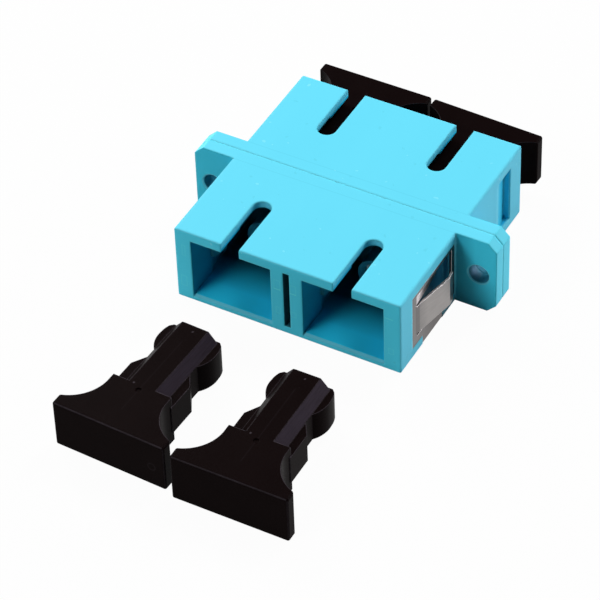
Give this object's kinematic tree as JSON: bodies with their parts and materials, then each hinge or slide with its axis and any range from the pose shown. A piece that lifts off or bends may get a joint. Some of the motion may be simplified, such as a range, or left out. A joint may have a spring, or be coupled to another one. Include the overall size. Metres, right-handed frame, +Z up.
{
  "type": "duplex fibre adapter",
  "caption": "Flanged coupling block for push-pull fibre plugs, with key slots over its ports, a sprung panel clip round one end and winged black dust caps that pull out.",
  "frame": {"origin": "midway between the two flange holes, on the parting plane between the two housing halves", "axes": "+X along the flange, +Y from the end with the panel clip and the loose caps to the end with the seated caps, +Z up towards the key slots"},
  "size_m": [0.0346, 0.057, 0.0092],
  "materials": {
    "housing": "satin moulded aqua plastic",
    "holder": "satin moulded teal plastic",
    "sleeve": "polished white ceramic",
    "clip": "bright rolled stainless sheet",
    "cap": "black moulded plastic with a soft sheen"
  },
  "bodies": {
    "adapter": {"front_housing": "housing", "rear_housing": "housing", "front_left_latch_holder": "holder", "front_right_latch_holder": "holder", "rear_left_latch_holder": "holder", "rear_right_latch_holder": "holder", "left_alignment_sleeve": "sleeve", "right_alignment_sleeve": "sleeve", "panel_clip": "clip"},
    "front_left_cap": {"front_left_dust_cap": "cap"},
    "front_right_cap": {"front_right_dust_cap": "cap"},
    "rear_left_cap": {"rear_left_dust_cap": "cap"},
    "rear_right_cap": {"rear_right_dust_cap": "cap"}
  },
  "joints": [
    {"name": "front_left_cap_slide", "type": "slide", "parent": "adapter", "child": "front_left_cap", "axis": [-0.0282, 0.9953, 0.0925], "range_m": [0, 0.01946]},
    {"name": "front_right_cap_slide", "type": "slide", "parent": "adapter", "child": "front_right_cap", "axis": [-0.0499, 0.9948, 0.0888], "range_m": [0, 0.02028]},
    {"name": "rear_left_cap_slide", "type": "slide", "parent": "adapter", "child": "rear_left_cap", "axis": [0, 1, 0], "range_m": [0, 0.016]},
    {"name": "rear_right_cap_slide", "type": "slide", "parent": "adapter", "child": "rear_right_cap", "axis": [0.0332, 0.9995, 0], "range_m": [0, 0.016]}
  ]
}
